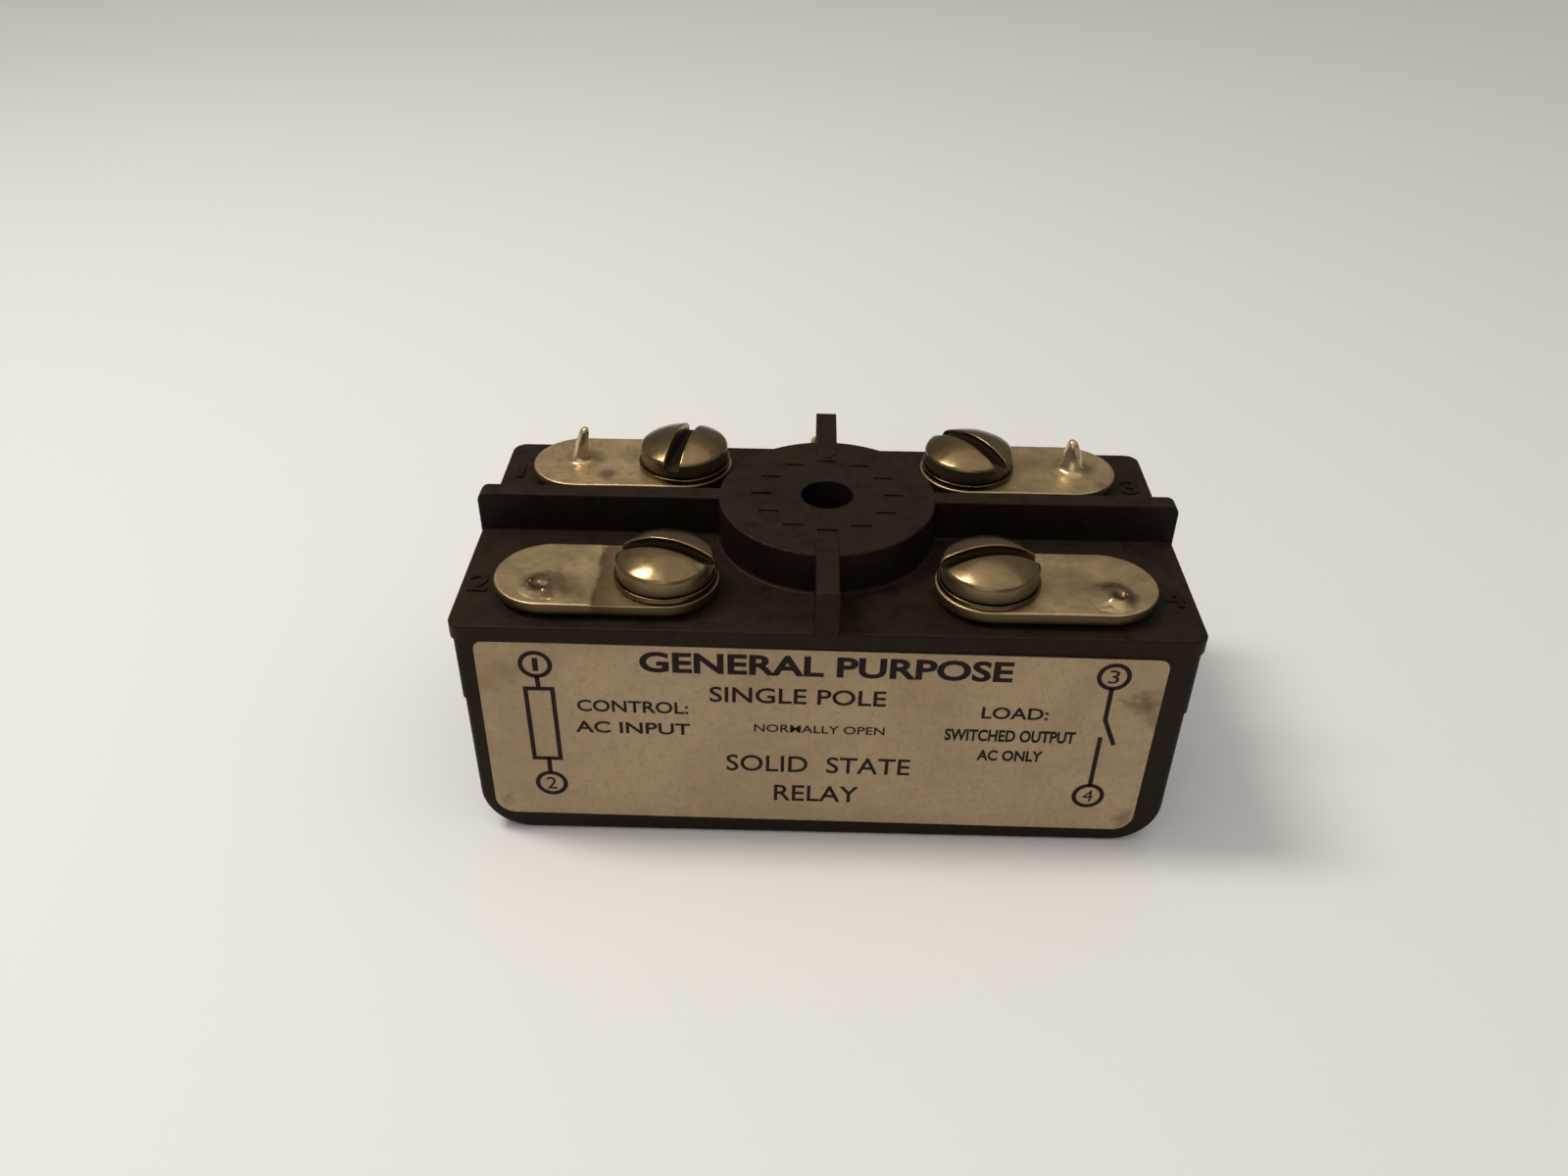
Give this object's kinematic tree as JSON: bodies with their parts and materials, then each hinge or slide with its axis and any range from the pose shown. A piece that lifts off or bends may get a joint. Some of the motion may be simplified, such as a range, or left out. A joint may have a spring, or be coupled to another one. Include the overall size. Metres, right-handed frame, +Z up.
{
  "type": "solid state relay",
  "caption": "Rectangular moulded relay block with a screw terminal at each corner, a raised barrier cross and hub, and a mounting hole through the middle.",
  "frame": {"origin": "centre of the underside, on the axis of the mounting hole", "axes": "+Z up out of the terminal side, +X along the length towards the load terminals, label on the -Y side"},
  "size_m": [0.0572, 0.028, 0.026],
  "materials": {
    "case_plastic": "fine matt moulded black thermoset, worn",
    "label_paper": "aged off-white printed label",
    "tinned_plate": "tinned brass, dull, flux-stained",
    "screw_steel": "nickel-plated steel, satin, tarnished",
    "washer_steel": "nickel-plated steel, satin",
    "insert_brass": "turned brass",
    "tinned_wire": "tinned copper wire",
    "solder": "tin-lead solder, shiny, uneven",
    "base_aluminium": "milled aluminium, satin",
    "ceramic": "white alumina",
    "spreader_copper": "bare copper",
    "component_black": "moulded epoxy",
    "board_green": "solder-masked glass epoxy",
    "capacitor_film": "dipped film capacitor",
    "resistor_tan": "lacquered axial body",
    "potting_epoxy": "filled epoxy"
  },
  "bodies": {
    "case": {"base_plate": "base_aluminium", "case_body": "case_plastic", "ceramic_insulator": "ceramic", "circuit_board": "board_green", "control_transistor": "component_black", "gate_resistor": "resistor_tan", "heat_spreader": "spreader_copper", "input_resistor": "resistor_tan", "label": "label_paper", "lead_1": "tinned_wire", "lead_2": "tinned_wire", "lead_3": "tinned_wire", "lead_4": "tinned_wire", "mounting_sleeve": "base_aluminium", "optocoupler": "component_black", "potting_compound": "potting_epoxy", "power_triac": "component_black", "protection_diode": "component_black", "snubber_capacitor": "capacitor_film", "snubber_resistor": "resistor_tan", "solder_joint_1": "solder", "solder_joint_2": "solder", "solder_joint_3": "solder", "solder_joint_4": "solder", "terminal_cover": "case_plastic", "terminal_plate_1": "tinned_plate", "terminal_plate_2": "tinned_plate", "terminal_plate_3": "tinned_plate", "terminal_plate_4": "tinned_plate", "threaded_insert_1": "insert_brass", "threaded_insert_2": "insert_brass", "threaded_insert_3": "insert_brass", "threaded_insert_4": "insert_brass"},
    "washer_1": {"screw_washer_1": "washer_steel"},
    "screw_1": {"terminal_screw_1": "screw_steel"},
    "washer_2": {"screw_washer_2": "washer_steel"},
    "screw_2": {"terminal_screw_2": "screw_steel"},
    "washer_3": {"screw_washer_3": "washer_steel"},
    "screw_3": {"terminal_screw_3": "screw_steel"},
    "washer_4": {"screw_washer_4": "washer_steel"},
    "screw_4": {"terminal_screw_4": "screw_steel"}
  },
  "joints": [
    {"name": "screw_1_lift", "type": "slide", "parent": "case", "child": "washer_1", "axis": [0, 0, 1], "range_m": [0, 0.0046]},
    {"name": "screw_1_turn", "type": "hinge", "parent": "washer_1", "child": "screw_1", "pos_m": [-0.01245, 0.0087, 0.02335], "axis": [0, 0, 1], "range_deg": [0, 2087]},
    {"name": "screw_2_lift", "type": "slide", "parent": "case", "child": "washer_2", "axis": [0, 0, 1], "range_m": [0, 0.0046]},
    {"name": "screw_2_turn", "type": "hinge", "parent": "washer_2", "child": "screw_2", "pos_m": [-0.01245, -0.0087, 0.02335], "axis": [0, 0, 1], "range_deg": [0, 2087]},
    {"name": "screw_3_lift", "type": "slide", "parent": "case", "child": "washer_3", "axis": [0, 0, 1], "range_m": [0, 0.0046]},
    {"name": "screw_3_turn", "type": "hinge", "parent": "washer_3", "child": "screw_3", "pos_m": [0.01245, 0.0087, 0.02335], "axis": [0, 0, 1], "range_deg": [0, 2087]},
    {"name": "screw_4_lift", "type": "slide", "parent": "case", "child": "washer_4", "axis": [0, 0, 1], "range_m": [0, 0.0046]},
    {"name": "screw_4_turn", "type": "hinge", "parent": "washer_4", "child": "screw_4", "pos_m": [0.01245, -0.0087, 0.02335], "axis": [0, 0, 1], "range_deg": [0, 2087]}
  ],
  "couplings": [
    {"joint": "screw_1_turn", "follows": "screw_1_lift", "rad_per_m": 7915.8},
    {"joint": "screw_2_turn", "follows": "screw_2_lift", "rad_per_m": 7915.8},
    {"joint": "screw_3_turn", "follows": "screw_3_lift", "rad_per_m": 7915.8},
    {"joint": "screw_4_turn", "follows": "screw_4_lift", "rad_per_m": 7915.8}
  ]
}
